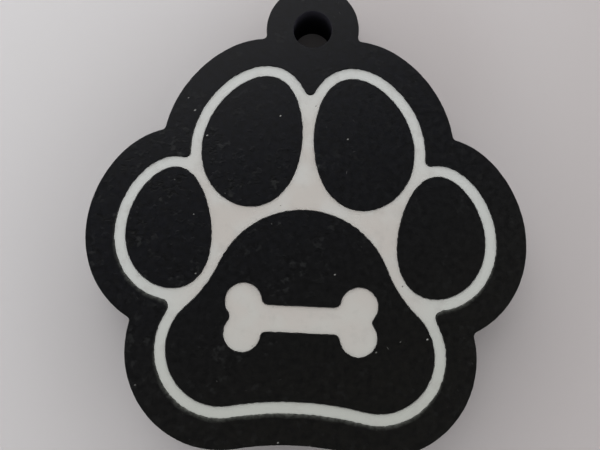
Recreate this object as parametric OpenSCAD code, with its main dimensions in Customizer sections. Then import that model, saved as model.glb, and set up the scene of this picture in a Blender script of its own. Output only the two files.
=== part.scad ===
// A flat, paw-shaped pet tag with a hanging loop.
// A black shell holds a white plate in its tray. Four toe pads and a main pad
// are set into pockets in the plate, level with the border of the shell. The
// plate rises a bone's shape through the main pad.
// The tag lies on its back with the loop towards +Y. The origin is on the
// axis of the ring hole, in the back face. Lengths are in millimetres.

/* [Layers] */
// Thickness of the whole tag
tag_t = 4; // [3.6:0.1:6]
// How far the white plate lies below the black faces
recess_depth = 0.15; // [0.05:0.05:0.4]
// Thickness of the white plate
plate_t = 1.4; // [1.2:0.1:1.8]
// Thickness of the black pads
pad_t = 0.8; // [0.5:0.1:1]

/* [Band and border] */
// Width of the white band round the pads
band_w = 1.1; // [0.8:0.05:2]
// Width of the black border round the white band
border_w = 2.6; // [1.5:0.1:4]
// Side clearance of the white plate in the tray
plate_clearance = 0.05; // [0.02:0.01:0.15]
// Side clearance of a pad in its pocket
pad_clearance = 0.03; // [0.01:0.01:0.1]
// Radius in the corners between two lobes of the white band
band_corner_r = 0.4; // [0.1:0.05:0.8]
// Radius in the notches of the outer edge
edge_corner_r = 0.3; // [0.1:0.05:1]

/* [Outer toe pads] */
// Distance of an outer toe's middle from the centre line
outer_toe_x = 11.95; // [11.5:0.05:12.5]
// Height of an outer toe's middle above the middle of the paw
outer_toe_y = 2.65; // [2:0.05:3.5]
// Width of an outer toe
outer_toe_w = 7.8; // [6.5:0.1:8]
// Length of an outer toe
outer_toe_l = 11.1; // [10:0.1:12]
// Lean of an outer toe towards the centre line, in degrees
outer_toe_lean_angle = -1.9; // [-8:0.1:8]
// How much narrower an outer toe is at its tip
outer_toe_taper_share = 0.126; // [0:0.01:0.2]
// How far an outer toe bows outwards
outer_toe_bow_share = 0.12; // [0:0.005:0.2]

/* [Inner toe pads] */
// Distance of an inner toe's middle from the centre line
inner_toe_x = 4.7; // [4.5:0.05:5.2]
// Height of an inner toe's middle above the middle of the paw
inner_toe_y = 11; // [10.8:0.05:12]
// Width of an inner toe
inner_toe_w = 9.1; // [8:0.1:9.2]
// Length of an inner toe
inner_toe_l = 12.5; // [11:0.1:12.8]
// Lean of an inner toe towards the centre line, in degrees
inner_toe_lean_angle = 11.4; // [8:0.1:15]
// How much narrower an inner toe is at its tip
inner_toe_taper_share = 0.111; // [0:0.01:0.2]
// How far an inner toe bows outwards
inner_toe_bow_share = 0.087; // [0:0.005:0.15]

/* [Main pad] */
// Height of the main pad's top above the middle of the paw
main_top_y = 4.65; // [3.5:0.05:4.9]
// Radius of the crown
crown_r = 8.2; // [7:0.1:8.6]
// Turn of each half of the crown, in degrees
crown_angle = 67.8; // [60:0.1:70]
// Radius of the hollow flanks under the crown
flank_r = 11.2; // [9:0.1:14]
// Turn of a hollow flank, in degrees
flank_angle = 25; // [18:0.1:28]
// Radius of the round side lobes
lobe_r = 4.95; // [4:0.05:5.2]
// Turn of a side lobe, in degrees
lobe_angle = 148.7; // [146:0.1:152]

/* [Hanging loop] */
// Height of the ring hole above the middle of the paw
loop_rise = 21.9; // [20.8:0.1:25]
// Outer diameter of the loop
loop_d = 8.8; // [7:0.1:12]
// Diameter of the ring hole
ring_hole_d = 3.7; // [2.5:0.1:5]
// Width of the neck below the loop, as a share of its diameter
neck_share = 0.8; // [0.5:0.05:0.9]

/* [Bone cut-out] */
// Length of the bone over its knobs
bone_l = 13.8; // [8:0.1:15]
// Height of the bone over its knobs
bone_h = 6.2; // [5:0.1:6.6]
// Height of the shaft between the knobs
bone_shaft_h = 2.4; // [1.5:0.1:3]
// Diameter of a knob
bone_knob_d = 3.4; // [2.8:0.1:3.8]
// Radius of the hollows between the knobs and the shaft
bone_hollow_r = 0.5; // [0.2:0.05:1]
// Height of the bone's middle above the middle of the paw
bone_y = -5.2; // [-6:0.1:-3]

/* [Hidden] */
// How far a cut runs past the face that it opens
overrun = 0.5;
// Longest chord along an arc of the main pad
chord = 0.45;
// Chords round a toe, and round a full turn of any rounding
toe_chords = 72;
$fn = 72;
// Thickness of the shell below the tray
tray_floor_t = tag_t - recess_depth - plate_t;
// Height of the floor of the pads' pockets
pad_z = tag_t - pad_t;
// Middles of the toes on the right, from the middle of the paw
outer_toe_at = [outer_toe_x, outer_toe_y];
inner_toe_at = [inner_toe_x, inner_toe_y];
// Headings along the right half of the main pad, in degrees from +X
crown_end = -crown_angle;
flank_end = crown_end + flank_angle;
lobe_end = flank_end - lobe_angle;
hollow_end = -180;
// Points where one arc of the main pad runs into the next
crown_from = [0, main_top_y];
flank_from = arc_point(crown_from, crown_r, 0, crown_end);
lobe_from = arc_point(flank_from, -flank_r, crown_end, flank_end);
hollow_from = arc_point(lobe_from, lobe_r, flank_end, lobe_end);
// Radius at which the bottom hollow runs level into the centre line
hollow_r = hollow_from[0] / sin(lobe_end);
black_plastic = [0.12, 0.12, 0.13];
white_plastic = [0.80, 0.80, 0.78];

// The sideways direction to the right of a heading
function right_of(heading) = [sin(heading), -cos(heading)];

// The point at heading b of an arc that leaves the point from at heading a.
// A positive radius turns right and a negative one turns left.
function arc_point(from, r, a, b) = from + r * right_of(a) - r * right_of(b);

// The points of that arc from heading a up to, but not at, heading b
function arc_points(from, r, a, b) =
    let (steps = ceil(abs(r) * abs(b - a) * PI / 180 / chord))
    [for (i = [0 : steps - 1]) arc_point(from, r, a, a + (b - a) * i / steps)];

// The right half of the main pad, from its top down to the centre line
function main_pad_half() = concat(
    arc_points(crown_from, crown_r, 0, crown_end),
    arc_points(flank_from, -flank_r, crown_end, flank_end),
    arc_points(lobe_from, lobe_r, flank_end, lobe_end),
    arc_points(hollow_from, -hollow_r, lobe_end, hollow_end),
    [arc_point(hollow_from, -hollow_r, lobe_end, hollow_end)]
);

// A point of a toe's outline: an egg with its tip up, bowed to one side
function toe_point(w, l, taper_share, bow_share, turn) =
    let (across = cos(turn) * (1 - taper_share * sin(turn)))
    let (bow = bow_share * cos(turn) * cos(turn))
    [w / 2 * (across + bow), l / 2 * sin(turn)];

// Places the paw's middle below the ring hole
module at_paw(z = 0) {
    translate([0, -loop_rise, z]) children();
}

// A toe on the right, in its place
module toe_outline(at, w, l, lean, taper_share, bow_share) {
    turns = [for (i = [0 : toe_chords - 1]) 360 * i / toe_chords];
    translate(at)
        rotate(lean)
            polygon([for (turn = turns) toe_point(w, l, taper_share, bow_share, turn)]);
}

module outer_toe_outline() {
    toe_outline(
        outer_toe_at, outer_toe_w, outer_toe_l,
        outer_toe_lean_angle, outer_toe_taper_share, outer_toe_bow_share
    );
}

module inner_toe_outline() {
    toe_outline(
        inner_toe_at, inner_toe_w, inner_toe_l,
        inner_toe_lean_angle, inner_toe_taper_share, inner_toe_bow_share
    );
}

module main_pad_outline() {
    half = main_pad_half();
    last = len(half) - 1;
    polygon(concat(half, [for (i = [last - 1 : -1 : 1]) [-half[i][0], half[i][1]]]));
}

// The five pads, joined by the web between their middles
module joined_pads() {
    crown_middle = [0, main_top_y - crown_r];
    for (side = [0, 1])
        mirror([side, 0]) {
            outer_toe_outline();
            inner_toe_outline();
            polygon([crown_middle, outer_toe_at, inner_toe_at, [0, inner_toe_y]]);
        }
    main_pad_outline();
}

// The outline that runs round all the pads at a distance, with rounded corners
module paw_outline(growth, corner_r) {
    offset(r = -corner_r)
        offset(delta = growth + corner_r)
            joined_pads();
}

// The outer edge of the tag: the paw, the loop and the neck between them
module shell_outline() {
    neck_w = neck_share * loop_d;
    offset(r = -edge_corner_r)
        offset(delta = edge_corner_r) {
            at_paw()
                paw_outline(band_w + border_w, edge_corner_r);
            circle(d = loop_d);
            translate([-neck_w / 2, inner_toe_y - loop_rise])
                square([neck_w, loop_rise - inner_toe_y]);
        }
}

// A bone with two knobs at each end
module bone_outline() {
    knob_x = (bone_l - bone_knob_d) / 2;
    knob_y = (bone_h - bone_knob_d) / 2;
    offset(r = -bone_hollow_r)
        offset(delta = bone_hollow_r) {
            square([2 * knob_x, bone_shaft_h], center = true);
            for (x = [-knob_x, knob_x], y = [-knob_y, knob_y])
                translate([x, y])
                    circle(d = bone_knob_d);
        }
}

// The main pad's shape, with the bone cut out
module main_pad_shape() {
    difference() {
        main_pad_outline();
        translate([0, bone_y])
            bone_outline();
    }
}

// The shapes of the five pads with their clearance
module pocket_outlines() {
    offset(delta = pad_clearance) {
        for (side = [0, 1])
            mirror([side, 0]) {
                outer_toe_outline();
                inner_toe_outline();
            }
        main_pad_shape();
    }
}

// One toe pad, level with the border
module toe_pad(side) {
    color(black_plastic)
        at_paw(pad_z)
            linear_extrude(pad_t)
                mirror([side, 0])
                    children();
}

// The shell: border, tray and hanging loop in one moulding
module back_shell() {
    color(black_plastic)
        difference() {
            linear_extrude(tag_t)
                shell_outline();
            at_paw(tray_floor_t)
                linear_extrude(plate_t + recess_depth + overrun)
                    paw_outline(band_w + plate_clearance, band_corner_r);
            translate([0, 0, -overrun])
                cylinder(d = ring_hole_d, h = tag_t + 2 * overrun);
        }
}

// The white plate with the pads' pockets. It shows as the band, the web and the bone.
module paw_plate() {
    color(white_plastic)
        difference() {
            at_paw(tray_floor_t)
                linear_extrude(plate_t)
                    paw_outline(band_w, band_corner_r);
            at_paw(pad_z)
                linear_extrude(pad_t)
                    pocket_outlines();
        }
}

module first_toe_pad() {
    toe_pad(1)
        outer_toe_outline();
}

module second_toe_pad() {
    toe_pad(1)
        inner_toe_outline();
}

module third_toe_pad() {
    toe_pad(0)
        inner_toe_outline();
}

module fourth_toe_pad() {
    toe_pad(0)
        outer_toe_outline();
}

// The main pad, round the bone that the plate raises through it
module main_pad() {
    color(black_plastic)
        at_paw(pad_z)
            linear_extrude(pad_t)
                main_pad_shape();
}

back_shell();
paw_plate();
first_toe_pad();
second_toe_pad();
third_toe_pad();
fourth_toe_pad();
main_pad();
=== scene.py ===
"""A flat, paw-shaped pet tag in black and white plastic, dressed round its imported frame.

The shell, the white plate and the main pad follow the outlines of the frame's own
solids. The toe pads are grown by a node tree from the egg shape that they share.
Sizes are in millimetres, and become metres where a mesh or a node needs them.
"""
import logging
import math
from dataclasses import dataclass, replace
from enum import Enum

import bmesh
import bpy
from mathutils import Euler, Matrix, Vector, noise


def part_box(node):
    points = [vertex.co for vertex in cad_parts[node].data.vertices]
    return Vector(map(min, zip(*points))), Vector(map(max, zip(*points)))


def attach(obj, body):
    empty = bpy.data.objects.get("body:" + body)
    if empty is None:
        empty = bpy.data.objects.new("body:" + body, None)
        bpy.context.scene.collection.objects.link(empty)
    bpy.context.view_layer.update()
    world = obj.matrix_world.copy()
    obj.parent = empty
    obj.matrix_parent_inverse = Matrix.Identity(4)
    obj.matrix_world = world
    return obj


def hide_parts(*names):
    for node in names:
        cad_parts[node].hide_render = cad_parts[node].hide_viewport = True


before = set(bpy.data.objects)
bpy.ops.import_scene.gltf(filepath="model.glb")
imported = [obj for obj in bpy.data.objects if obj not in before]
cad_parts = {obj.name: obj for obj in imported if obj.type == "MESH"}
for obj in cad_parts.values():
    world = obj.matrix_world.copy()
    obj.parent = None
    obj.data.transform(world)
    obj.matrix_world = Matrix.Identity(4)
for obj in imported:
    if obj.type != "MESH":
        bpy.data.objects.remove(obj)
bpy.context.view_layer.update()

LOG = logging.getLogger("paw_tag")
MM = 0.001
MERGE = 1e-4 * MM
LEVEL = 0.999
LEAST_POINTS = 12
ROOT = "root"

Colour = tuple[float, float, float]


class Slot(Enum):
    """The record's material slots."""

    SHELL = "black_shell"
    PLATE = "white_plate"
    PADS = "black_pads"


class Side(Enum):
    """A side of the centre line, as a factor on X."""

    LEFT = -1
    RIGHT = 1


@dataclass
class Field:
    """A socket's value in a node tree, with arithmetic that adds the nodes it needs.

    Args:
        tree: The shader or geometry node tree.
        socket: The output socket that holds the value.
    """

    tree: bpy.types.NodeTree
    socket: bpy.types.NodeSocket

    def math(self, operation: str, *others: "Field | float", swap: bool = False) -> "Field":
        """Adds one math node.

        Args:
            operation: The math node's operation.
            others: The operands after this one.
            swap: Puts this value second, for the reflected operators.

        Returns:
            The node's result.
        """
        node = self.tree.nodes.new("ShaderNodeMath")
        node.operation = operation
        values = [self, *others]
        if swap:
            values.reverse()
        for socket, value in zip(node.inputs, values):
            connect(self.tree, value, socket)
        return Field(self.tree, node.outputs[0])

    def __add__(self, other: "Field | float") -> "Field":
        """The sum."""
        return self.math("ADD", other)

    def __sub__(self, other: "Field | float") -> "Field":
        """The difference."""
        return self.math("SUBTRACT", other)

    def __rsub__(self, other: float) -> "Field":
        """The difference, from the right."""
        return self.math("SUBTRACT", other, swap=True)

    def __mul__(self, other: "Field | float") -> "Field":
        """The product."""
        return self.math("MULTIPLY", other)

    def __truediv__(self, other: "Field | float") -> "Field":
        """The quotient."""
        return self.math("DIVIDE", other)

    __radd__, __rmul__ = __add__, __mul__

    def sin(self) -> "Field":
        """The sine of the value in radians."""
        return self.math("SINE")

    def cos(self) -> "Field":
        """The cosine of the value in radians."""
        return self.math("COSINE")

    def root(self) -> "Field":
        """The square root."""
        return self.math("SQRT")

    def below(self, limit: "Field | float") -> "Field":
        """One where the value is under the limit, and zero elsewhere."""
        return self.math("LESS_THAN", limit)

    def ramp(self, low: float, high: float, start: float = 0.0, end: float = 1.0) -> "Field":
        """Maps the stretch from low to high smoothly onto start to end.

        Args:
            low: The value that gives start.
            high: The value that gives end.
            start: The result at low and below.
            end: The result at high and above.

        Returns:
            The mapped value.
        """
        node = self.tree.nodes.new("ShaderNodeMapRange")
        node.interpolation_type = "SMOOTHSTEP"
        names = ("Value", "From Min", "From Max", "To Min", "To Max")
        for name, value in zip(names, (self, low, high, start, end)):
            connect(self.tree, value, node.inputs[name])
        return Field(self.tree, node.outputs["Result"])


def connect(tree: bpy.types.NodeTree, value: object, socket: bpy.types.NodeSocket) -> None:
    """Feeds a socket from a field or another socket, or sets it to a constant.

    Args:
        tree: The node tree.
        value: A Field, a socket or a plain value.
        socket: The input to feed.
    """
    if isinstance(value, Field):
        tree.links.new(value.socket, socket)
    elif isinstance(value, bpy.types.NodeSocket):
        tree.links.new(value, socket)
    else:
        socket.default_value = value


def add_node(tree: bpy.types.NodeTree, kind: str, settings: dict[str, object] | None = None,
             feeds: dict[str | int, object] | None = None) -> bpy.types.Node:
    """Adds a node with its settings and inputs.

    Args:
        tree: The node tree.
        kind: The node's type name.
        settings: Properties to set on the node.
        feeds: Values for its inputs, by name or place.

    Returns:
        The new node.
    """
    node = tree.nodes.new(kind)
    for name, value in (settings or {}).items():
        setattr(node, name, value)
    for name, value in (feeds or {}).items():
        connect(tree, value, node.inputs[name])
    return node


def add_object(name: str, data: bpy.types.ID) -> bpy.types.Object:
    """Adds an object to the scene.

    Args:
        name: The object's name.
        data: Its mesh, lamp or camera.

    Returns:
        The new object.
    """
    made = bpy.data.objects.new(name, data)
    bpy.context.scene.collection.objects.link(made)
    return made


@dataclass(frozen=True)
class Pattern:
    """Blotches of noise, which start at one level of the noise and are full at another.

    Args:
        size: The size of a blotch, in millimetres.
        low: The level at which a blotch starts.
        high: The level at which it is full.
        detail: How many finer layers the noise has.
        rough: How strong those layers are.
        share: How strongly the blotches show in the colour.
        angle: The direction in which they are drawn out, in degrees from X.
        stretch: How many times longer than wide they are.
    """

    size: float
    low: float
    high: float
    detail: float = 2.0
    rough: float = 0.5
    share: float = 1.0
    angle: float = 0.0
    stretch: float = 1.0


@dataclass(frozen=True)
class Specks:
    """Sparse spots or streaks on the faces that point up, one at most in each cell.

    Args:
        cell: The size of a cell, in millimetres.
        radius: The radius of the largest spot, in millimetres.
        chance: The share of the cells that hold a spot.
        angle: The direction in which the spots are drawn out, in degrees from X.
        stretch: How many times longer than wide they are.
        soft: The share of the radius over which a spot fades.
        vary: How much smaller the smallest spot is, as a share.
        share: How strongly the spots show in the colour.
    """

    cell: float
    radius: float
    chance: float
    angle: float = 0.0
    stretch: float = 1.0
    soft: float = 0.35
    vary: float = 0.0
    share: float = 1.0


@dataclass
class Surface:
    """A new material with one Principled shader, and the textures that feed it.

    Args:
        name: The material's name.
        steep: The height of the normal on the steepest face that holds specks.
        level: The height of the normal from which a face holds them in full.
    """

    name: str
    steep: float = 0.4
    level: float = 0.8

    def __post_init__(self) -> None:
        """Makes the material and finds its shader."""
        self.material = bpy.data.materials.new(self.name)
        self.material.use_nodes = True
        self.tree = self.material.node_tree
        self.shader = self.tree.nodes["Principled BSDF"]
        self.place = add_node(self.tree, "ShaderNodeTexCoord").outputs["Object"]
        normal = add_node(self.tree, "ShaderNodeNewGeometry").outputs["Normal"]
        height = add_node(self.tree, "ShaderNodeSeparateXYZ", feeds={"Vector": normal}).outputs["Z"]
        self.facing_up = Field(self.tree, height).ramp(self.steep, self.level)

    def noise(self, size: float, detail: float = 3.0, rough: float = 0.6,
              place: bpy.types.NodeSocket | None = None) -> Field:
        """A noise texture.

        Args:
            size: The size of its blotches, in millimetres.
            detail: How many finer layers it has.
            rough: How strong those layers are.
            place: The coordinates to read, if not the object's.

        Returns:
            The noise, about one half on average.
        """
        node = add_node(self.tree, "ShaderNodeTexNoise", {"noise_dimensions": "3D"}, {
            "Vector": place or self.place,
            "Scale": 1 / (size * MM),
            "Detail": detail,
            "Roughness": rough,
        })
        return Field(self.tree, node.outputs["Fac"])

    def blotches(self, pattern: Pattern, start: float = 0.0, end: float = 1.0) -> Field:
        """The blotches of a pattern.

        Args:
            pattern: The pattern.
            start: The result between blotches.
            end: The result where a blotch is full.

        Returns:
            The field from start to end.
        """
        place = self.turned(pattern.angle, pattern.stretch)
        texture = self.noise(pattern.size, pattern.detail, pattern.rough, place)
        return texture.ramp(pattern.low, pattern.high, start, end)

    def spots(self, specks: Specks) -> tuple[Field, Field]:
        """The spots of one kind of speck.

        Args:
            specks: The kind of speck.

        Returns:
            The mask of the spots, and a number from 0 to 1 for each cell.
        """
        node = add_node(self.tree, "ShaderNodeTexVoronoi", {"voronoi_dimensions": "2D"}, {
            "Vector": self.turned(specks.angle, specks.stretch),
            "Scale": 1 / (specks.cell * MM),
        })
        parts = add_node(self.tree, "ShaderNodeSeparateColor", feeds={"Color": node.outputs["Color"]})
        chosen = Field(self.tree, parts.outputs["Red"]).below(specks.chance)
        reach = specks.radius / specks.cell
        size = 1 - Field(self.tree, parts.outputs["Blue"]) * specks.vary
        away = Field(self.tree, node.outputs["Distance"]) / size
        shape = away.ramp(reach * (1 - specks.soft), reach, 1.0, 0.0)
        return shape * chosen * self.facing_up, Field(self.tree, parts.outputs["Green"])

    def turned(self, angle: float, stretch: float) -> bpy.types.NodeSocket:
        """Coordinates turned about Z and squeezed along X, so that round spots become streaks.

        Args:
            angle: The streaks' direction, in degrees from X.
            stretch: How many times longer than wide a streak is.

        Returns:
            The coordinates, which are the object's own without a stretch.
        """
        if stretch == 1.0:
            return self.place
        turn = add_node(self.tree, "ShaderNodeMapping", {"vector_type": "TEXTURE"}, {
            "Vector": self.place,
            "Rotation": Euler((0, 0, math.radians(angle))),
            "Scale": Vector((stretch, 1, 1)),
        })
        return turn.outputs["Vector"]

    def across(self) -> tuple[Field, Field]:
        """The place across and along the tag, in millimetres from the ring hole."""
        parts = add_node(self.tree, "ShaderNodeSeparateXYZ", feeds={"Vector": self.place})
        return tuple(Field(self.tree, parts.outputs[name]) / MM for name in "XY")

    def away(self, x: Field, y: Field, centre_x: float = 0.0, centre_y: float = 0.0) -> Field:
        """The distance from a place on the tag, in millimetres.

        Args:
            x: The place across.
            y: The place along.
            centre_x: Where the distance starts across.
            centre_y: Where it starts along.

        Returns:
            The distance.
        """
        off_x, off_y = x - centre_x, y - centre_y
        return (off_x * off_x + off_y * off_y).root()

    def attribute(self, name: str) -> Field:
        """A number stored on the mesh's points."""
        node = add_node(self.tree, "ShaderNodeAttribute", {"attribute_name": name})
        return Field(self.tree, node.outputs["Fac"])

    def blend(self, first: object, second: object, share: Field) -> bpy.types.NodeSocket:
        """Mixes two colours.

        Args:
            first: The colour at share 0.
            second: The colour at share 1.
            share: How much of the second shows.

        Returns:
            The mixed colour.
        """
        node = add_node(self.tree, "ShaderNodeMix", {"data_type": "RGBA"}, {"Factor": share})
        sockets = [s for s in node.inputs if s.type == "RGBA"]
        for socket, value in zip(sockets, (first, second)):
            connect(self.tree, with_alpha(value), socket)
        return next(s for s in node.outputs if s.type == "RGBA")

    def relief(self, layers: list[tuple[Field, float]]) -> None:
        """Gives the shader a bump made of several heights.

        Args:
            layers: Pairs of a height field and its depth in millimetres.
        """
        normal = None
        for height, depth in layers:
            feeds = {"Height": height, "Distance": depth * MM, "Strength": 1.0}
            if normal is not None:
                feeds["Normal"] = normal
            normal = add_node(self.tree, "ShaderNodeBump", feeds=feeds).outputs["Normal"]
        connect(self.tree, normal, self.shader.inputs["Normal"])

    def finished(self, colour: bpy.types.NodeSocket, rough: Field | float,
                 shine: float) -> bpy.types.Material:
        """Feeds the shader its colour, roughness and shine.

        Args:
            colour: The colour.
            rough: The roughness.
            shine: The specular level.

        Returns:
            The finished material.
        """
        feeds = {"Base Color": colour, "Roughness": rough, "Specular IOR Level": shine}
        for name, value in feeds.items():
            connect(self.tree, value, self.shader.inputs[name])
        return self.material


def with_alpha(colour: object) -> object:
    """A colour as four numbers, or the socket as it is."""
    return (*colour, 1.0) if isinstance(colour, tuple) else colour


def scratches(angle: float, chance: float) -> Specks:
    """Hairline scratches that run in one direction."""
    return Specks(cell=0.45, radius=0.03, chance=chance, angle=angle, stretch=7.0, soft=0.9, share=0.4)


@dataclass(frozen=True)
class BlackPlastic:
    """Matte black moulded plastic with patches of small pits and bumps, dust and hairlines.

    Args:
        name: The material's name.
        cool_tone: The colour towards the loop, with a painted bluish tint of the light reflected there.
        warm_tone: The colour towards the heel, with a painted warm tint of the light reflected there.
        mottle_and_pit_shade_tone: The colour of its darker mottling, and the painted shade in its pits.
        lit_tone: The painted highlight colour on its bumps.
        bore_lit_tone: The colour of the ring hole's wall, painted paler and bluer than the black as light
            in the hole.
        dust_tone: The colour of dust and of scuffed edges.
        smear_tone: The colour of the painted light halo on the tray's rolled edge, pale where that edge
            faces the light.
        warm_y: The place along the tag where the painted warm tint is full, in millimetres from the ring
            hole.
        cool_y: The place where the painted bluish tint is full.
        tone_slope: How far these places climb for each millimetre to the right.
        mottle: The darker mottling.
        patch: The patches that have pits and strong bumps.
        pit: The pits in the patches.
        pit_depth: The depth of a pit, in millimetres.
        bump: The bumps.
        bump_height: The height of a bump, in millimetres.
        bump_rest: How strongly bumps show between the patches.
        handled_x: The place across of the most handled part, where pits and bumps are strongest.
        handled_y: Its place along the tag, from the ring hole.
        handled_core: How far from there they stay as strong.
        handled_reach: How far from there they are down to their rest.
        handled_rest: How strong they are further away, as a share.
        grain: The size of the grain, in millimetres.
        grain_depth: The depth of the grain, in millimetres.
        dust: The bright dust specks.
        fine_dust: The faint fine dust in the patches.
        hairs: The hairline scratches.
        worn: The parts that have them.
        scuff: The scuffs on worn edges.
        smear: The unevenness of the painted light halo.
        least_smear: The strength of the painted light halo at its thinnest.
        most_smear: Its strength at its thickest.
        bore: The radius of the ring hole, in millimetres.
        bore_skin: How far from the hole's wall its painted paler colour and its roughness start to end, in
            millimetres.
        bore_end: Where it has ended.
        clean_rim: How far from the hole's wall the first dust lies, in millimetres.
        dusty_rim: How far from it the dust is full.
        rough: The middle roughness.
        rough_swing: How far the roughness swings to each side.
        bore_rough: How much rougher the hole's wall is.
        dulling: The pattern of the roughness.
        shine: The specular level.
    """

    name: str
    cool_tone: Colour = (0.0033, 0.0036, 0.0053)
    warm_tone: Colour = (0.0050, 0.0048, 0.0041)
    mottle_and_pit_shade_tone: Colour = (0.0016, 0.0016, 0.0017)
    lit_tone: Colour = (0.0165, 0.0172, 0.0172)
    bore_lit_tone: Colour = (0.0110, 0.0105, 0.0150)
    dust_tone: Colour = (0.27, 0.27, 0.255)
    smear_tone: Colour = (0.058, 0.061, 0.054)
    warm_y: float = -38.0
    cool_y: float = -8.0
    tone_slope: float = 0.5
    mottle: Pattern = Pattern(size=0.55, low=0.34, high=0.7, detail=4.0, rough=0.65, share=0.7)
    patch: Pattern = Pattern(size=3.4, low=0.46, high=0.6, rough=0.6)
    pit: Pattern = Pattern(size=0.38, low=0.52, high=0.68, detail=1.5, share=0.8, angle=4.0, stretch=1.6)
    pit_depth: float = 0.010
    bump: Pattern = Pattern(size=0.62, low=0.56, high=0.72, detail=1.0, share=0.62)
    bump_height: float = 0.015
    bump_rest: float = 0.04
    handled_x: float = -9.0
    handled_y: float = -21.5
    handled_core: float = 8.0
    handled_reach: float = 15.0
    handled_rest: float = 0.3
    grain: float = 0.2
    grain_depth: float = 0.0045
    dust: Specks = Specks(cell=1.5, radius=0.09, chance=0.095, angle=30.0, stretch=1.5, vary=0.6)
    fine_dust: Specks = Specks(
        cell=0.625, radius=0.054, chance=0.05, angle=-60.0, stretch=1.8, vary=0.4, share=0.2)
    hairs: tuple[Specks, ...] = (scratches(20.0, 0.03), scratches(-55.0, 0.03), scratches(78.0, 0.02))
    worn: Pattern = Pattern(size=5.0, low=0.5, high=0.62, detail=1.0)
    scuff: Pattern = Pattern(size=0.3, low=0.58, high=0.7, detail=3.0, rough=0.7, share=0.15)
    smear: Pattern = Pattern(size=0.33, low=0.28, high=0.68, detail=3.0, rough=0.7)
    least_smear: float = 0.15
    most_smear: float = 1.4
    bore: float = 1.85
    bore_skin: float = 0.01
    bore_end: float = 0.03
    clean_rim: float = 0.2
    dusty_rim: float = 0.5
    rough: float = 0.40
    rough_swing: float = 0.07
    bore_rough: float = 0.5
    dulling: Pattern = Pattern(size=0.5, low=0.3, high=0.7, detail=3.0, rough=0.6)
    shine: float = 0.135

    def material(self) -> bpy.types.Material:
        """Builds the material.

        Returns:
            The new material.
        """
        surface = Surface(self.name)
        x, y = surface.across()
        coolness = (y - x * self.tone_slope).ramp(self.warm_y, self.cool_y)
        handled = surface.away(x, y, self.handled_x, self.handled_y).ramp(
            self.handled_core, self.handled_reach, 1.0, self.handled_rest)
        patchy = surface.blotches(self.patch) * handled
        pitted = surface.blotches(self.pit) * patchy
        bumpy = surface.blotches(self.bump)
        # Painted light: the black is tinted bluish towards the loop and warm towards the heel, as the light
        # reflected in it.
        colour = surface.blend(self.warm_tone, self.cool_tone, coolness)
        colour = surface.blend(colour, self.mottle_and_pit_shade_tone, surface.blotches(self.mottle) * self.mottle.share)
        # Painted highlight: the bumps are drawn paler, as if they catch the light.
        colour = surface.blend(colour, self.lit_tone, bumpy * (self.bump_rest + patchy * self.bump.share))
        # Painted shade: the pits are darkened in colour as well as sunk by the bump.
        colour = surface.blend(colour, self.mottle_and_pit_shade_tone, pitted * self.pit.share)
        off_bore = surface.away(x, y) - self.bore
        colour = self.dusted(surface, colour, patchy, off_bore.ramp(self.clean_rim, self.dusty_rim))
        scuffs = surface.blotches(self.scuff) * surface.attribute("edge")
        colour = surface.blend(colour, self.dust_tone, scuffs * self.scuff.share)
        # Painted light: a pale halo on the tray's rolled edge, strongest where that edge faces the light.
        lit_halo_share = surface.blotches(self.smear, self.least_smear, self.most_smear)
        colour = surface.blend(colour, self.smear_tone, lit_halo_share * surface.attribute("smear"))
        in_bore = off_bore.ramp(self.bore_skin, self.bore_end, 1.0, 0.0)
        # Painted light: the ring hole's wall is drawn paler and bluer than the black around it.
        colour = surface.blend(colour, self.bore_lit_tone, in_bore)
        rough = surface.blotches(self.dulling, self.rough - self.rough_swing, self.rough + self.rough_swing)
        surface.relief([
            (surface.noise(self.grain), self.grain_depth),
            (pitted * -1.0, self.pit_depth),
            (bumpy * handled, self.bump_height),
        ])
        return surface.finished(colour, rough + in_bore * self.bore_rough, self.shine)

    def dusted(self, surface: Surface, colour: bpy.types.NodeSocket, patchy: Field,
               open_face: Field) -> bpy.types.NodeSocket:
        """Adds bright dust, fainter fine dust and a few hairline scratches.

        Args:
            surface: The surface.
            colour: The colour under them.
            patchy: Where the fine dust lies.
            open_face: Zero beside the ring hole, where the specks are rubbed off.

        Returns:
            The colour with them.
        """
        specks, bright = surface.spots(self.dust)
        colour = surface.blend(colour, self.dust_tone, specks * bright * bright * open_face)
        fine, faint = surface.spots(self.fine_dust)
        colour = surface.blend(colour, self.dust_tone, fine * faint * patchy * self.fine_dust.share)
        worn = surface.blotches(self.worn)
        for hair in self.hairs:
            streaks, faint = surface.spots(hair)
            colour = surface.blend(colour, self.dust_tone, streaks * faint * worn * hair.share)
        return colour


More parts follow.
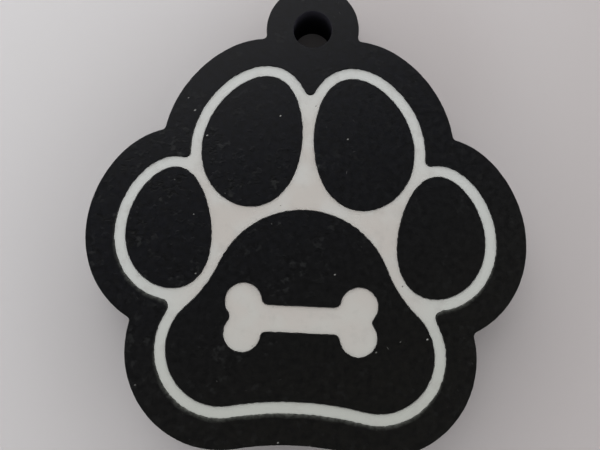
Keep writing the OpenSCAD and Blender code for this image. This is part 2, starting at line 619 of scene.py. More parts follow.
@dataclass(frozen=True)
class WhitePlastic:
    """Matte white plastic, greyer at the heel and warmer in the middle, with stains and dark specks.

    Args:
        name: The material's name.
        tone: The plain colour towards the loop.
        heel_shade_tone: The colour towards the heel, greyer as painted shade where less light falls.
        warm_tone: The colour of the webs in the middle of the paw.
        stain_tone: The colour of small faint stains.
        dirt_tone: The colour of the dark specks.
        tone_y: The place along the tag where the plain colour ends and the painted shade starts, in
            millimetres from the ring hole.
        heel_y: The place where the painted shade towards the heel is full.
        tone_slope: How far these places climb for each millimetre to the right.
        middle_y: The place of the paw's middle, in millimetres from the ring hole.
        warm_core: How far from there the white is warmest.
        warm_reach: How far from there the warmth ends.
        warmth: The unevenness of the warmth.
        least_warm: The warmth at its weakest, as a share.
        stain: The stains.
        dirt: The dark specks.
        rough: The middle roughness.
        rough_swing: How far the roughness swings to each side.
        dulling: The pattern of the roughness.
        shine: The specular level.
        grain: The size of the grain, in millimetres.
        grain_depth: The depth of the grain, in millimetres.
    """

    name: str
    tone: Colour = (0.502, 0.513, 0.500)
    heel_shade_tone: Colour = (0.417, 0.426, 0.393)
    warm_tone: Colour = (0.452, 0.426, 0.399)
    stain_tone: Colour = (0.363, 0.346, 0.329)
    dirt_tone: Colour = (0.087, 0.082, 0.078)
    tone_y: float = -11.0
    heel_y: float = -42.0
    tone_slope: float = 0.2
    middle_y: float = -19.5
    warm_core: float = 8.0
    warm_reach: float = 15.5
    warmth: Pattern = Pattern(size=2.6, low=0.25, high=0.6)
    least_warm: float = 0.45
    stain: Pattern = Pattern(size=1.1, low=0.5, high=0.75, detail=3.0, rough=0.6, share=0.35)
    dirt: Specks = Specks(cell=1.3, radius=0.08, chance=0.2, angle=50.0, stretch=1.4, vary=0.5)
    rough: float = 0.55
    rough_swing: float = 0.06
    dulling: Pattern = Pattern(size=0.6, low=0.3, high=0.7, detail=3.0, rough=0.6)
    shine: float = 0.25
    grain: float = 0.16
    grain_depth: float = 0.006

    def material(self) -> bpy.types.Material:
        """Builds the material.

        Returns:
            The new material.
        """
        surface = Surface(self.name)
        x, y = surface.across()
        heel_shade = (y - x * self.tone_slope).ramp(self.heel_y, self.tone_y, 1.0, 0.0)
        near = surface.away(x, y, 0.0, self.middle_y).ramp(self.warm_core, self.warm_reach, 1.0, 0.0)
        warmth = near * surface.blotches(self.warmth, self.least_warm)
        # Painted shade: the white is drawn greyer towards the heel, where less light falls.
        colour = surface.blend(self.tone, self.heel_shade_tone, heel_shade)
        colour = surface.blend(colour, self.warm_tone, warmth)
        colour = surface.blend(colour, self.stain_tone, surface.blotches(self.stain) * self.stain.share)
        specks, dark = surface.spots(self.dirt)
        colour = surface.blend(colour, self.dirt_tone, specks * dark * dark)
        rough = surface.blotches(self.dulling, self.rough - self.rough_swing, self.rough + self.rough_swing)
        surface.relief([(surface.noise(self.grain), self.grain_depth)])
        return surface.finished(colour, rough, self.shine)


@dataclass(frozen=True)
class TableTop:
    """The plain pale surface that the tag lies on, paler and cooler towards the window.

    Args:
        name: The material's name.
        lit_tone: The colour at its left, painted paler where the window's light falls.
        dimly_lit_tone: The colour at its right, painted dimmer where less light falls.
        lit_x: The place across the tag where the painted light is palest, in millimetres.
        dim_x: The place where it is dimmest.
        tone_slope: How far these places shift for each millimetre towards the loop.
        loop_shade_x: The place across of the painted shade beside the loop, in millimetres.
        loop_shade_core: How far from there the painted shade is darkest.
        loop_shade_reach: How far from there that painted shade ends.
        loop_shade_share: How dark the painted shade is, as a share of the step from pale to dim.
        rough: The roughness.
        shine: The specular level.
    """

    name: str = "pale_table"
    lit_tone: Colour = (0.573, 0.560, 0.567)
    dimly_lit_tone: Colour = (0.465, 0.434, 0.434)
    lit_x: float = -34.0
    dim_x: float = 34.0
    tone_slope: float = 0.25
    loop_shade_x: float = 5.0
    loop_shade_core: float = 2.0
    loop_shade_reach: float = 20.0
    loop_shade_share: float = 0.5
    rough: float = 0.7
    shine: float = 0.2

    def material(self) -> bpy.types.Material:
        """Builds the material.

        Returns:
            The new material.
        """
        surface = Surface(self.name)
        x, y = surface.across()
        # Painted light: the table is drawn paler and cooler towards the window and dimmer away from it.
        dimness = (x - y * self.tone_slope - self.lit_x) / (self.dim_x - self.lit_x)
        # Painted shade: the table is drawn darker beside the loop.
        off_loop_shade = surface.away(x, y, self.loop_shade_x)
        loop_shade = off_loop_shade.ramp(self.loop_shade_core, self.loop_shade_reach, self.loop_shade_share, 0.0)
        colour = surface.blend(self.lit_tone, self.dimly_lit_tone, dimness + loop_shade)
        return surface.finished(colour, self.rough, self.shine)


@dataclass(frozen=True)
class Ragged:
    """The kind of unevenness that a cut or moulded edge has.

    Args:
        depth: The greatest depth, in millimetres.
        length: The length of one flaw along the edge, in millimetres.
        seed: Picks the pattern.
        fading: How fast the finer layers of flaws grow weaker.
        finer: How many times finer each layer is than the one before.
        layers: The number of layers.
    """

    depth: float
    length: float
    seed: float
    fading: float = 0.8
    finer: float = 2.0
    layers: int = 3


@dataclass
class Outline:
    """A closed outline in the plane of the tag, in metres, running anticlockwise.

    Args:
        points: The points in order.
    """

    points: list[Vector]

    def __post_init__(self) -> None:
        """Turns a clockwise outline round."""
        if area_inside(self.points) < 0:
            self.points.reverse()

    def length(self) -> float:
        """The length of the outline."""
        return sum((b - a).length for a, b in zip(self.points, self.points[1:] + self.points[:1]))

    def evened(self, step: float, passes: int = 3) -> "Outline":
        """The outline with points at even steps, its facets smoothed away.

        Args:
            step: The distance between points, in millimetres.
            passes: How often each point moves towards its neighbours.

        Returns:
            The new outline.
        """
        count = max(LEAST_POINTS, round(self.length() / (step * MM)))
        gap = self.length() / count
        made = []
        travelled = 0.0
        for a, b in zip(self.points, self.points[1:] + self.points[:1]):
            span = (b - a).length
            while len(made) < count and len(made) * gap < travelled + span:
                made.append(a.lerp(b, (len(made) * gap - travelled) / span))
            travelled += span
        for _ in range(passes):
            made = [
                (made[i - 1] + 2 * made[i] + made[(i + 1) % len(made)]) / 4
                for i in range(len(made))
            ]
        return Outline(made)

    def rounded(self, tips: list[Vector], reach: float, blur: float) -> "Outline":
        """The outline with some of its corners worn rounder.

        Args:
            tips: The places of those corners.
            reach: How far from such a place points move, in millimetres.
            blur: The length along the outline over which they even out, in millimetres.

        Returns:
            The new outline.
        """
        near = {}
        for i, p in enumerate(self.points):
            away = min((p - tip).length for tip in tips) / (reach * MM)
            if away < 1:
                near[i] = 1 - away * away
        made = list(self.points)
        for _ in range(round((blur * MM * len(made) / self.length()) ** 2)):
            middles = {i: (made[i - 1] + made[(i + 1) % len(made)]) / 2 for i in near}
            for i, middle in middles.items():
                made[i] = made[i].lerp(middle, near[i] / 2)
        return Outline(made)

    def normals(self) -> list[Vector]:
        """The outward directions.

        Returns:
            One unit vector for each point.
        """
        count = len(self.points)
        made = []
        for i in range(count):
            along = self.points[(i + 1) % count] - self.points[i - 1]
            made.append(Vector((along.y, -along.x)).normalized())
        return made

    def moved(self, distances: list[float]) -> list[Vector]:
        """The points moved outwards.

        Args:
            distances: How far each point goes, in millimetres. A negative one goes inwards.

        Returns:
            The moved points.
        """
        return [p + n * far * MM for p, n, far in zip(self.points, self.normals(), distances)]

    def gap_to(self, other: "Outline") -> float:
        """The mean gap to an outline that runs round this one at an even distance, in millimetres."""
        return (area_inside(other.points) - area_inside(self.points)) / self.length() / MM

    def flaws(self, ragged: Ragged) -> list[float]:
        """The small unevenness of a cut or moulded edge along the outline.

        Args:
            ragged: The kind of unevenness.

        Returns:
            How deep it is at each point, in millimetres.
        """
        made = []
        for p in self.points:
            at = Vector((p.x, p.y, 0.0)) / (ragged.length * MM) + Vector((0.0, 0.0, ragged.seed))
            share = 0.5 + 0.5 * noise.fractal(at, ragged.fading, ragged.finer, ragged.layers)
            made.append(ragged.depth * min(1.0, max(0.0, share)))
        return made


def top_outlines(node: str) -> tuple[list[Outline], list[Outline]]:
    """The outlines of a CAD node's top face, the longest first.

    Args:
        node: The node's name.

    Returns:
        The rims round parts of the face, and the edges of its holes.
    """
    mesh = bmesh.new()
    mesh.from_mesh(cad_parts[node].data)
    bmesh.ops.remove_doubles(mesh, verts=mesh.verts, dist=MERGE)
    top = max(v.co.z for v in mesh.verts)
    flat = [f for f in mesh.faces if all(abs(v.co.z - top) < MERGE for v in f.verts)]
    members = set(flat)
    after = {}
    for face in flat:
        for loop in face.loops:
            if any(f not in members for f in loop.edge.link_faces):
                after[loop.vert.index] = (loop.link_loop_next.vert.index, Vector(loop.vert.co.xy))
    rims, holes = [], []
    while after:
        start, (index, point) = next(iter(after.items()))
        del after[start]
        points = [point]
        while index != start:
            index, point = after.pop(index)
            points.append(point)
        (rims if area_inside(points) > 0 else holes).append(Outline(points))
    mesh.free()
    return tuple(sorted(found, key=lambda outline: -outline.length()) for found in (rims, holes))


def area_inside(points: list[Vector]) -> float:
    """The area inside closed points, positive if they run anticlockwise."""
    return sum(a.x * b.y - a.y * b.x for a, b in zip(points, points[1:] + points[:1])) / 2


@dataclass(frozen=True)
class Step:
    """One ring of a wall: how far it is drawn in from the outline, its height, and its wear.

    Args:
        inset: The distance from the outline into the material, in millimetres.
        z: The height in millimetres.
        edge: How much the ring counts as a worn edge, from 0 to 1.
        smear: How much painted light halo it carries, from 0 to 1.
    """

    inset: float
    z: float
    edge: float = 0.0
    smear: float = 0.0


def rolled_steps(low: float, high: float, width: float, turns: int = 6,
                 thinning: float = 0.75, smear_width: float = 1.5) -> list[Step]:
    """The rings of an edge that rolls over from upright to level, with a painted light halo on it.

    Args:
        low: The height where it starts.
        high: The height where it ends.
        width: How far it runs into the material, in millimetres.
        turns: The number of facets.
        thinning: How much of the painted light halo is gone where the roll ends.
        smear_width: How far the painted light halo reaches, as a multiple of the width.

    Returns:
        The rings in order, and one more on the level face, where the painted light halo ends.
    """
    steps = []
    for i in range(turns + 1):
        a = math.pi / 2 * i / turns
        z = low + (high - low) * math.sin(a)
        steps.append(Step(width * (1 - math.cos(a)), z, smear=1 - thinning * i / turns))
    return [*steps, Step(width * smear_width, high)]


def wall_steps(bottom: float, top: float, round_bottom: float, round_top: float, fade: float = 0.0,
               turns: int = 4) -> list[Step]:
    """The rings of an upright wall with rounded edges, from its bottom to its top.

    Args:
        bottom: The lowest height.
        top: The highest height.
        round_bottom: The radius of the lower edge, or 0 for a sharp one.
        round_top: The radius of the upper edge, or 0 for a sharp one.
        fade: How far the wear of each edge reaches along the wall, or 0 where the wall is hidden.
        turns: The number of facets round each edge.

    Returns:
        The rings in order.
    """
    steps = []
    for i in range(turns + 1 if round_bottom else 1):
        a = math.pi / 2 * i / turns
        z = bottom + round_bottom * (1 - math.cos(a))
        steps.append(Step(round_bottom * (1 - math.sin(a)), z, 1.0 if i else 0.0))
    if fade:
        steps += [Step(0.0, bottom + round_bottom + fade), Step(0.0, top - round_top - fade)]
    for i in range(turns + 1 if round_top else 1):
        a = math.pi / 2 * i / turns
        wear = 1.0 if round_top and i < turns else 0.0
        steps.append(Step(round_top * (1 - math.cos(a)), top - round_top * (1 - math.sin(a)), wear))
    return steps


class Moulding:
    """A closed mesh put together from walls and flat faces."""

    def __init__(self) -> None:
        """Starts an empty mesh."""
        self.mesh = bmesh.new()
        self.edge = self.mesh.verts.layers.float.new("edge")
        # Painted light: how much of the pale halo on the tray's rolled edge each vertex carries.
        self.smear = self.mesh.verts.layers.float.new("smear")

    def wall(self, outline: Outline, steps: list[Step], inner: bool = False,
             flaws: list[float] | None = None, spread: list[float] | None = None) -> tuple[list, list]:
        """Adds one wall.

        Args:
            outline: The outline that the wall follows.
            steps: Its rings, from the bottom to the top.
            inner: True for the wall of a hole or a tray, whose material is outside it.
            flaws: How much deeper into the material each point of the wall lies.
            spread: How wide the rings' insets and painted light halo are at each point, as a share.

        Returns:
            The vertices of the lowest and of the highest ring.
        """
        rings = []
        flaws = flaws or [0.0] * len(outline.points)
        spread = spread or [1.0] * len(outline.points)
        outwards = 1 if inner else -1
        for step in steps:
            ring = []
            distances = [outwards * (step.inset * wide + flaw) for wide, flaw in zip(spread, flaws)]
            for p, wide in zip(outline.moved(distances), spread):
                vertex = self.mesh.verts.new((p.x, p.y, step.z * MM))
                vertex[self.edge] = step.edge
                vertex[self.smear] = step.smear * wide
                ring.append(vertex)
            rings.append(ring)
        for low, high in zip(rings, rings[1:]):
            for i in range(len(low)):
                j = (i + 1) % len(low)
                corners = [low[i], low[j], high[j], high[i]]
                face = self.mesh.faces.new(corners[::-1] if inner else corners)
                face.smooth = True
        return rings[0], rings[-1]

    def flat(self, rings: list[list], up: bool) -> None:
        """Fills the flat face between closed rings.

        Args:
            rings: The rings of vertices that bound it.
            up: True if it faces upwards.
        """
        edges = [self.mesh.edges.get((ring[i - 1], ring[i])) for ring in rings for i in range(len(ring))]
        made = bmesh.ops.triangle_fill(
            self.mesh, use_beauty=True, use_dissolve=False, edges=edges, normal=(0, 0, 1 if up else -1)
        )
        for item in made["geom"]:
            if isinstance(item, bmesh.types.BMFace):
                item.smooth = False
                item.normal_update()
                if (item.normal.z > 0) != up:
                    item.normal_flip()

    def piece(self, name: str, material: bpy.types.Material) -> bpy.types.Object:
        """Turns the mesh into an object.

        Args:
            name: The object's name.
            material: Its material.

        Returns:
            The new object.
        """
        data = bpy.data.meshes.new(name)
        self.mesh.to_mesh(data)
        self.mesh.free()
        data.materials.append(material)
        return add_object(name, data)


def report(piece: bpy.types.Object, node: str) -> None:
    """Lets a finished piece ride on the body in place of its CAD node.

    Args:
        piece: The piece.
        node: The CAD node that it stands for.
    """
    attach(piece, ROOT)
    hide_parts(node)
    LOG.info("%s stands for %s with %d faces", piece.name, node, len(piece.data.polygons))


@dataclass
class Shell:
    """The black shell: border, tray and hanging loop.

    Args:
        node: The CAD node that it stands for.
        step: The distance between points along its outlines, in millimetres.
        edge_radius: The radius of its outer edges.
        wear: How far the wear of its outer edges reaches along the wall.
        ragged: The unevenness of its outer edge.
        gap: The gap between the plate and the tray's wall.
        roll: How far the border's inner edge rolls over into the border, where it is widest.
        least_roll: The share of that where it is narrowest.
        lit_side: The direction that the widest roll, with the strongest painted light halo, faces, in
            degrees from X.
        side_roll: The roll where the edge runs along that direction, as a share before the power.
        roll_swing: How much more it is where the edge faces that direction.
        roll_power: How sharply the roll narrows away from there.
        even_roll: The share of the roll that is the same all along.
        roll_ragged: The unevenness of the rest.
    """

    node: str = "back_shell"
    step: float = 0.12
    edge_radius: float = 0.06
    wear: float = 0.4
    ragged: Ragged = Ragged(depth=0.03, length=0.8, seed=3.0)
    gap: float = 0.02
    roll: float = 0.3
    least_roll: float = 0.08
    lit_side: float = 76.0
    side_roll: float = 0.32
    roll_swing: float = 0.6
    roll_power: float = 1.3
    even_roll: float = 0.7
    roll_ragged: Ragged = Ragged(depth=0.5, length=1.6, seed=9.0)

    def build(self, plate: "Plate", finish: BlackPlastic) -> bpy.types.Object:
        """Builds and dresses the shell.

        Args:
            plate: The plate in the tray, whose uneven edge the tray's wall follows.
            finish: Its plastic.

        Returns:
            The new object.
        """
        low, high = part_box(self.node)
        plate_low, plate_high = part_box(plate.node)
        bottom, top, foot = low.z / MM, high.z / MM, plate_high.z / MM + plate.raised
        (outer,), (tray, hole) = top_outlines(self.node)
        outer, tray, hole = (outline.evened(self.step) for outline in (outer, tray, hole))
        clearance = top_outlines(plate.node)[0][0].gap_to(tray)
        tray = plate.worn_round(tray)
        moulding = Moulding()
        edge = wall_steps(bottom, top, self.edge_radius, self.edge_radius, self.wear)
        outer_low, outer_high = moulding.wall(outer, edge, flaws=outer.flaws(self.ragged))
        hole_low, hole_high = moulding.wall(hole, [Step(0.0, bottom), Step(0.0, top)], inner=True)
        follows = [self.gap - clearance - flaw for flaw in plate.rim_flaws(tray)]
        rolled = [Step(0.0, plate_low.z / MM), *rolled_steps(foot, top, self.roll)]
        tray_low, tray_high = moulding.wall(
            tray, rolled, inner=True, flaws=follows, spread=self.spread(tray))
        moulding.flat([outer_high, tray_high, hole_high], up=True)
        moulding.flat([tray_low], up=True)
        moulding.flat([outer_low, hole_low], up=False)
        return moulding.piece("tag_shell", finish.material())

    def spread(self, tray: Outline) -> list[float]:
        """How wide the roll and its painted light halo are along the tray's edge, as a share of its widest.

        Args:
            tray: The tray's outline.

        Returns:
            The share at each point.
        """
        side = math.radians(self.lit_side)
        worn = Vector((math.cos(side), math.sin(side)))
        spread = []
        for normal, more in zip(tray.normals(), tray.flaws(self.roll_ragged)):
            share = max(0.0, self.side_roll - self.roll_swing * normal.dot(worn)) ** self.roll_power
            spread.append(self.least_roll + (1 - self.least_roll) * share * (self.even_roll + more))
        return spread


@dataclass
class Plate:
    """The white plate in the tray, with a pocket for each pad and the bone standing in one.

    Args:
        node: The CAD node that it stands for.
        step: The distance between points along its outlines, in millimetres.
        edge_radius: The radius of its upper edges.
        rim_ragged: The unevenness of its outer edge.
        rim_inset: How far that edge lies inside its solid's, where it is least uneven.
        bone_ragged: The unevenness of the bone's edge.
        main_ragged: The unevenness of the main pocket's edge.
        toe_ragged: The unevenness of the first toe pocket's edge. The next ones add one each to its seed.
        raised: How far its face stands above its solid's, in millimetres.
        tip_x: The distance from the centre line of the tray's two lower tips.
        tip_y: Their height above the ring hole.
        tip_reach: How far from a tip its rounding starts.
        tip_blur: The length over which a tip is rounded.
    """

    node: str = "paw_plate"
    step: float = 0.09
    edge_radius: float = 0.02
    rim_ragged: Ragged = Ragged(depth=0.09, length=0.42, seed=5.0)
    rim_inset: float = 0.045
    bone_ragged: Ragged = replace(rim_ragged, seed=15.0)
    main_ragged: Ragged = replace(rim_ragged, seed=25.0)
    toe_ragged: Ragged = replace(rim_ragged, seed=35.0)
    raised: float = 0.08
    tip_x: float = 12.0
    tip_y: float = -26.1
    tip_reach: float = 2.2
    tip_blur: float = 0.7

    def build(self, finish: WhitePlastic) -> bpy.types.Object:
        """Builds and dresses the plate.

        Args:
            finish: Its plastic.

        Returns:
            The new object.
        """
        low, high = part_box(self.node)
        bottom, top, floor = low.z / MM, high.z / MM + self.raised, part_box(MainPad.node)[0].z / MM
        (outer, bone), (main, *toes) = top_outlines(self.node)
        outer, bone, main = (outline.evened(self.step) for outline in (outer, bone, main))
        outer = self.worn_round(outer)
        moulding = Moulding()
        pocket = wall_steps(floor, top, 0.0, self.edge_radius)
        rim = wall_steps(bottom, top, 0.0, self.edge_radius)
        outer_low, outer_high = moulding.wall(outer, rim, flaws=self.rim_flaws(outer))
        bone_low, bone_high = moulding.wall(bone, pocket, flaws=self.flaws(bone, self.bone_ragged))
        main_low, main_high = moulding.wall(
            main, pocket, inner=True, flaws=self.flaws(main, self.main_ragged))
        toe_walls = []
        for i, toe in enumerate(toes):
            toe = toe.evened(self.step)
            ragged = replace(self.toe_ragged, seed=self.toe_ragged.seed + i)
            toe_walls.append(moulding.wall(toe, pocket, inner=True, flaws=self.flaws(toe, ragged)))
        moulding.flat([outer_low], up=False)
        moulding.flat([outer_high, main_high, *(wall[1] for wall in toe_walls)], up=True)
        moulding.flat([bone_high], up=True)
        moulding.flat([main_low, bone_low], up=True)
        for wall in toe_walls:
            moulding.flat([wall[0]], up=True)
        return moulding.piece("white_paw", finish.material())

    def worn_round(self, outline: Outline) -> Outline:
        """The plate's or the tray's outline with its two lower tips rounded."""
        tips = [Vector((side.value * self.tip_x, self.tip_y)) * MM for side in Side]
        return outline.rounded(tips, self.tip_reach, self.tip_blur)

    def flaws(self, outline: Outline, ragged: Ragged) -> list[float]:
        """The unevenness of the edge of a pocket or the bone, to both sides of its outline."""
        return [flaw - ragged.depth / 2 for flaw in outline.flaws(ragged)]

    def rim_flaws(self, outline: Outline) -> list[float]:
        """How far the plate's outer edge lies inside its solid's, along that outline or the tray's."""
        return [self.rim_inset + flaw for flaw in outline.flaws(self.rim_ragged)]


@dataclass
class MainPad:
    """The main pad, open where the bone comes through.

    Args:
        node: The CAD node that it stands for.
        step: The distance between points along its outlines, in millimetres.
        edge_radius: The radius of its upper edges.
        ragged: The unevenness of its outer edge.
        bone_room: How much wider its cut-out is than its solid's, on each side.
    """

    node: str = "main_pad"
    step: float = 0.12
    edge_radius: float = 0.02
    ragged: Ragged = Ragged(depth=0.045, length=0.35, seed=11.0)
    bone_room: float = 0.01

    def build(self, finish: BlackPlastic) -> bpy.types.Object:
        """Builds and dresses the pad.

        Args:
            finish: Its plastic.

        Returns:
            The new object.
        """
        low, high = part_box(self.node)
        (outer,), (bone,) = top_outlines(self.node)
        outer, bone = outer.evened(self.step), bone.evened(self.step)
        steps = wall_steps(low.z / MM, high.z / MM, 0.0, self.edge_radius)
        moulding = Moulding()
        outer_low, outer_high = moulding.wall(outer, steps, flaws=outer.flaws(self.ragged))
        room = [self.bone_room] * len(bone.points)
        bone_low, bone_high = moulding.wall(bone, steps, inner=True, flaws=room)
        moulding.flat([outer_high, bone_high], up=True)
        moulding.flat([outer_low, bone_low], up=False)
        return moulding.piece("bone_cut_pad", finish.material())


@dataclass(frozen=True)
class Toe:
    """One toe pad's place and shape, as an egg with its tip up that bows to its outer side.

    Args:
        name: The piece's name.
        node: The CAD node that it stands for.
        side: The side of the centre line.
        seed: Picks the pattern of its edge.
        x: The distance of its middle from the centre line.
        y: The height of its middle above the ring hole.
        width: Its width.
        length: Its length.
        lean: How far its tip leans towards the centre line, in degrees.
        taper: How much narrower it is at its tip.
        bow: How far it bows outwards.
    """

    name: str
    node: str
    side: Side
    seed: float
    x: float
    y: float
    width: float
    length: float
    lean: float
    taper: float
    bow: float


class EggTree:
    """The node tree that grows a toe pad from a circle, with its sizes as inputs."""

    SIZES = (
        "Side", "Width", "Length", "Lean", "Taper", "Bow", "Low", "High", "Edge Radius", "Uneven", "Seed")
    POINTS = 260
    FACETS = 4
    UNEVEN = Pattern(size=0.35, low=0.25, high=0.75, detail=3.0)

    def __init__(self) -> None:
        """Builds the tree."""
        self.tree = bpy.data.node_groups.new("toe_pad_egg", "GeometryNodeTree")
        face = self.tree.interface
        face.new_socket("Geometry", in_out="OUTPUT", socket_type="NodeSocketGeometry")
        self.sockets = {
            name: face.new_socket(name, in_out="INPUT", socket_type="NodeSocketFloat").identifier
            for name in self.SIZES
        }
        self.sockets["Middle"] = face.new_socket(
            "Middle", in_out="INPUT", socket_type="NodeSocketVector").identifier
        self.sockets["Plastic"] = face.new_socket(
            "Plastic", in_out="INPUT", socket_type="NodeSocketMaterial").identifier
        self.inputs = self.tree.nodes.new("NodeGroupInput")
        self.grow()

    def value(self, name: str) -> Field:
        """One of the tree's inputs."""
        return Field(self.tree, self.inputs.outputs[name])

    def turn(self) -> Field:
        """The angle of a point round the egg, kept as it is extruded.

        Returns:
            The angle in radians.
        """
        node = add_node(
            self.tree, "GeometryNodeInputNamedAttribute", {"data_type": "FLOAT"}, {"Name": "turn"})
        return Field(self.tree, node.outputs["Attribute"])

    def rough(self, x: Field, y: Field) -> Field:
        """The unevenness of the edge.

        Args:
            x: The point's place across the egg.
            y: Its place along the egg.

        Returns:
            How far the edge is drawn in there, from 0 to its depth.
        """
        seed = self.value("Seed") * MM
        at = add_node(self.tree, "ShaderNodeCombineXYZ", feeds={"X": x, "Y": y, "Z": seed})
        texture = add_node(self.tree, "ShaderNodeTexNoise", {"noise_dimensions": "3D"}, {
            "Vector": at.outputs["Vector"],
            "Scale": 1 / (self.UNEVEN.size * MM),
            "Detail": self.UNEVEN.detail,
            "Roughness": self.UNEVEN.rough,
        })
        share = Field(self.tree, texture.outputs["Fac"]).ramp(self.UNEVEN.low, self.UNEVEN.high)
        return share * self.value("Uneven")

    def egg(self, inset: Field | float, z: Field) -> bpy.types.NodeSocket:
        """The place of each point on the egg.

        Args:
            inset: How far the point is drawn in from the outline.
            z: Its height.

        Returns:
            The place, as a vector socket.
        """
        side, taper, bow = self.value("Side"), self.value("Taper"), self.value("Bow")
        turn = self.turn() * side
        sine, cosine = turn.sin(), turn.cos()
        half_width, half_length = self.value("Width") / 2, self.value("Length") / 2
        x = half_width * (cosine * (1 - taper * sine) + bow * cosine * cosine)
        y = half_length * sine
        along_x = half_width * (0 - sine - taper * (turn * 2).cos() - bow * (turn * 2).sin())
        along_y = half_length * cosine
        speed = (along_x * along_x + along_y * along_y).root()
        drawn_in = self.rough(x, y) + inset
        x = x - drawn_in * along_y / speed
        y = y + drawn_in * along_x / speed
        lean = self.value("Lean")
        across = x * lean.cos() - y * lean.sin()
        up = x * lean.sin() + y * lean.cos()
        place = add_node(self.tree, "ShaderNodeCombineXYZ", feeds={"X": across * side, "Y": up, "Z": z})
        return place.outputs["Vector"]

    def ring(self, body: object, top: object, inset: Field | float, z: Field) -> tuple[object, object]:
        """Raises the top face by one ring.

        Args:
            body: The geometry socket.
            top: The selection of the top face.
            inset: How far the new ring is drawn in.
            z: Its height.

        Returns:
            The new geometry socket and the new selection.
        """
        raised = add_node(self.tree, "GeometryNodeExtrudeMesh", {"mode": "FACES"}, {
            "Mesh": body, "Selection": top, "Offset Scale": MM, "Individual": False,
        })
        top = raised.outputs["Top"]
        place = {"Selection": top, "Position": self.egg(inset, z)}
        return self.passed("GeometryNodeSetPosition", raised.outputs["Mesh"], place), top

    def passed(self, kind: str, body: object, feeds: dict[str, object] | None = None) -> object:
        """Passes the geometry through one more node.

        Args:
            kind: The node's type name.
            body: The geometry socket.
            feeds: Values for the node's other inputs.

        Returns:
            The new geometry socket.
        """
        return add_node(self.tree, kind, feeds={"Geometry": body, **(feeds or {})}).outputs["Geometry"]

    def stored(self, body: object, name: str, value: object, top: object = True) -> object:
        """Stores a number on the mesh's points.

        Args:
            body: The geometry socket.
            name: The number's name.
            value: The number.
            top: The selection of the points that get it.

        Returns:
            The new geometry socket.
        """
        kind = "GeometryNodeStoreNamedAttribute"
        return self.passed(kind, body, {"Selection": top, "Name": name, "Value": value})

    def grow(self) -> None:
        """Adds the nodes that make the pad."""
        circle = add_node(self.tree, "GeometryNodeMeshCircle", {"fill_type": "NGON"}, {
            "Vertices": self.POINTS, "Radius": 1.0,
        })
        place = self.tree.nodes.new("GeometryNodeInputPosition").outputs["Position"]
        spot = add_node(self.tree, "ShaderNodeSeparateXYZ", feeds={"Vector": place})
        angle = Field(self.tree, spot.outputs["Y"]).math("ARCTAN2", Field(self.tree, spot.outputs["X"]))
        low, high, radius = self.value("Low"), self.value("High"), self.value("Edge Radius")
        kept = self.stored(circle.outputs["Mesh"], "turn", angle)
        base = self.passed("GeometryNodeSetPosition", kept, {"Position": self.egg(0.0, low)})
        underside = add_node(self.tree, "GeometryNodeFlipFaces", feeds={"Mesh": base})
        body, top = self.ring(base, True, 0.0, high - radius)
        body = self.stored(body, "edge", 1.0, top)
        for i in range(1, self.FACETS + 1):
            bend = math.pi / 2 * i / self.FACETS
            inset, z = radius * (1 - math.cos(bend)), high - radius * (1 - math.sin(bend))
            body, top = self.ring(body, top, inset, z)
            body = self.stored(body, "edge", 1.0 if i < self.FACETS else 0.0, top)
        whole = add_node(self.tree, "GeometryNodeJoinGeometry")
        for half in (body, underside.outputs["Mesh"]):
            self.tree.links.new(half, whole.inputs[0])
        body = self.passed("GeometryNodeMergeByDistance", whole.outputs["Geometry"], {"Distance": MERGE})
        body = self.passed("GeometryNodeTransform", body, {"Translation": self.inputs.outputs["Middle"]})
        body = self.passed("GeometryNodeRealizeInstances", body)
        body = self.passed("GeometryNodeSetMaterial", body, {"Material": self.inputs.outputs["Plastic"]})
        self.tree.links.new(body, self.tree.nodes.new("NodeGroupOutput").inputs["Geometry"])


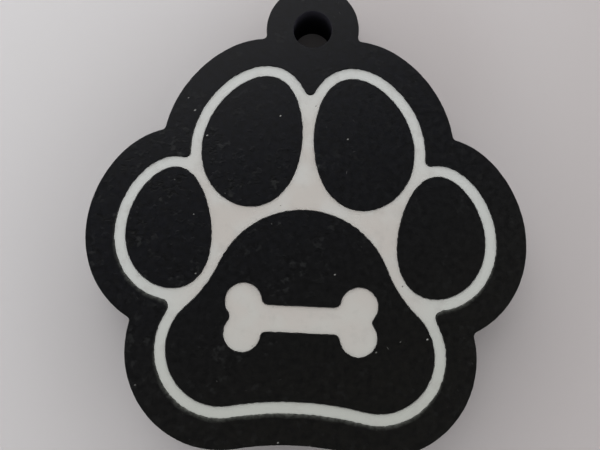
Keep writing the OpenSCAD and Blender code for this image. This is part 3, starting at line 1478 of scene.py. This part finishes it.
@dataclass
class ToePads:
    """The four toe pads, each an egg on the white plate.

    Args:
        edge_radius: The radius of their upper edges.
        uneven: The depth of the unevenness of their edges.
        hole_rise: The height of the ring hole above the middle of the paw.
    """

    edge_radius: float = 0.02
    uneven: float = 0.045
    hole_rise: float = 21.9

    def toes(self) -> list[Toe]:
        """The toes' places and shapes, the same on both sides.

        Returns:
            The four toes, from the left.
        """
        outer = {
            "x": 11.95, "y": 2.65, "width": 7.8, "length": 11.1, "lean": -1.9, "taper": 0.126, "bow": 0.12}
        inner = {
            "x": 4.7, "y": 11.0, "width": 9.1, "length": 12.5, "lean": 11.4, "taper": 0.111, "bow": 0.087}
        return [
            Toe("outer_left_toe", "first_toe_pad", Side.LEFT, 10.0, **outer),
            Toe("inner_left_toe", "second_toe_pad", Side.LEFT, 20.0, **inner),
            Toe("inner_right_toe", "third_toe_pad", Side.RIGHT, 30.0, **inner),
            Toe("outer_right_toe", "fourth_toe_pad", Side.RIGHT, 40.0, **outer),
        ]

    def grow(self, toe: Toe, eggs: EggTree, plastic: bpy.types.Material) -> bpy.types.Object:
        """Grows one toe pad.

        Args:
            toe: Its place and shape.
            eggs: The node tree.
            plastic: Its material.

        Returns:
            The finished piece.
        """
        low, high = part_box(toe.node)
        carrier = add_object("carrier", bpy.data.meshes.new("carrier"))
        modifier = carrier.modifiers.new("egg", "NODES")
        modifier.node_group = eggs.tree
        sizes = {
            "Side": float(toe.side.value),
            "Width": toe.width * MM,
            "Length": toe.length * MM,
            "Lean": math.radians(toe.lean),
            "Taper": toe.taper,
            "Bow": toe.bow,
            "Low": low.z,
            "High": high.z,
            "Edge Radius": self.edge_radius * MM,
            "Uneven": self.uneven * MM,
            "Seed": toe.seed,
            "Middle": Vector((toe.side.value * toe.x, toe.y - self.hole_rise, 0.0)) * MM,
            "Plastic": plastic,
        }
        for name, size in sizes.items():
            modifier[eggs.sockets[name]] = size
        graph = bpy.context.evaluated_depsgraph_get()
        data = bpy.data.meshes.new_from_object(carrier.evaluated_get(graph))
        bpy.data.objects.remove(carrier)
        data.name = toe.name
        data.attributes.remove(data.attributes["turn"])
        for face in data.polygons:
            face.use_smooth = abs(face.normal.z) < LEVEL
        return add_object(toe.name, data)

    def build(self, finish: BlackPlastic) -> list[tuple[bpy.types.Object, Toe]]:
        """Builds and dresses the toe pads.

        Args:
            finish: Their plastic.

        Returns:
            Each piece with its toe.
        """
        eggs = EggTree()
        plastic = finish.material()
        return [(self.grow(toe, eggs, plastic), toe) for toe in self.toes()]


@dataclass
class Studio:
    """The table, the light and the camera of the photograph.

    Args:
        foot_x: The camera's place across the tag, from the centre line.
        foot_y: The camera's place along the tag, from the ring hole.
        above: The camera's height over the tag's front face.
        sensor: The width of the camera's sensor.
        lens: The focal length.
        tip: How far the camera looks up towards the loop, in degrees.
        pan: How far it looks to the left, in degrees.
        roll: How far it is turned anticlockwise, in degrees.
        table: The width of the table top.
        overhead: The brightness overhead, in the shade of whoever takes the photograph.
        around: The brightness of the room round the table.
        around_loop: How much brighter it is towards the loop.
        around_right: How much brighter it is to the right.
        fade_from: The height above the table top at which the room starts to darken, in degrees.
        fade_to: The height at which it is as dark as overhead.
        lamp_side: The window light's direction from X, in degrees.
        lamp_rise: Its height above the table top, in degrees.
        lamp_away: Its distance.
        lamp_size: The width of the window.
        lamp_glow: Its brightness.
    """

    foot_x: float = 0.24
    foot_y: float = -21.9
    above: float = 37.65
    sensor: float = 36.0
    lens: float = 24.96
    tip: float = 5.0
    pan: float = 0.79
    roll: float = 2.36
    table: float = 900.0
    overhead: float = 0.186
    around: float = 5.88
    around_loop: float = 3.05
    around_right: float = 0.35
    fade_from: float = 2.0
    fade_to: float = 34.8
    lamp_side: float = 112.0
    lamp_rise: float = 37.0
    lamp_away: float = 223.0
    lamp_size: float = 228.0
    lamp_glow: float = 1.52

    def lay_table(self, finish: TableTop) -> None:
        """Lays the table top under the tag.

        Args:
            finish: Its surface.
        """
        half = self.table / 2 * MM
        data = bpy.data.meshes.new("table_top")
        corners = [(-half, -half, 0), (half, -half, 0), (half, half, 0), (-half, half, 0)]
        data.from_pydata(corners, [], [range(len(corners))])
        data.materials.append(finish.material())
        table = add_object("table_top", data)

    def light(self) -> None:
        """Lights the tag by a room that is dark overhead, and by a soft window."""
        world = bpy.data.worlds.new("room")
        world.use_nodes = True
        bpy.context.scene.world = world
        tree = world.node_tree
        direction = add_node(tree, "ShaderNodeTexCoord").outputs["Generated"]
        parts = add_node(tree, "ShaderNodeSeparateXYZ", feeds={"Vector": direction})
        x, y, z = (Field(tree, socket) for socket in parts.outputs)
        fade_from, fade_to = (math.sin(math.radians(a)) for a in (self.fade_from, self.fade_to))
        sides = (x * self.around_right + y * self.around_loop + self.around).math("MAXIMUM", 0.0)
        glow = sides * z.ramp(fade_from, fade_to, 1.0, 0.0) + self.overhead
        connect(tree, glow, tree.nodes["Background"].inputs["Strength"])
        tree.nodes["Background"].inputs["Color"].default_value = (1.0, 1.0, 1.0, 1.0)
        window = bpy.data.lights.new("window", "AREA")
        window.shape = "SQUARE"
        window.size = self.lamp_size * MM
        window.energy = math.pi * self.lamp_glow * window.size ** 2
        holder = add_object("window", window)
        side, rise = math.radians(self.lamp_side), math.radians(self.lamp_rise)
        away = Vector((math.cos(side) * math.cos(rise), math.sin(side) * math.cos(rise), math.sin(rise)))
        holder.location = Vector((0.0, self.foot_y, 0.0)) * MM + away * self.lamp_away * MM
        holder.rotation_euler = away.to_track_quat("Z", "Y").to_euler()

    def aim_camera(self) -> None:
        """Puts the camera where the photograph was taken from."""
        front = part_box("back_shell")[1].z
        data = bpy.data.cameras.new("camera")
        data.sensor_width = self.sensor
        data.lens = self.lens
        data.clip_start = MM
        camera = add_object("camera", data)
        turn = (
            Matrix.Rotation(math.radians(self.roll), 4, "Z")
            @ Matrix.Rotation(math.radians(self.tip), 4, "X")
            @ Matrix.Rotation(math.radians(self.pan), 4, "Y")
        )
        place = Vector((self.foot_x * MM, self.foot_y * MM, front + self.above * MM))
        camera.matrix_world = Matrix.Translation(place) @ turn
        bpy.context.scene.camera = camera


def main() -> None:
    """Builds the tag and its setting."""
    logging.basicConfig(level=logging.INFO)
    bpy.context.scene.view_settings.view_transform = "Standard"
    studio = Studio()
    studio.aim_camera()
    studio.lay_table(TableTop())
    studio.light()
    shell, plate = Shell(), Plate()
    report(shell.build(plate, BlackPlastic("shell_black")), shell.node)
    report(plate.build(WhitePlastic("plate_white")), plate.node)
    for piece, toe in ToePads().build(BlackPlastic("toe_black")):
        report(piece, toe.node)
    pad = MainPad()
    report(pad.build(BlackPlastic("pad_black")), pad.node)
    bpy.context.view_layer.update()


if __name__ == "__main__":
    main()
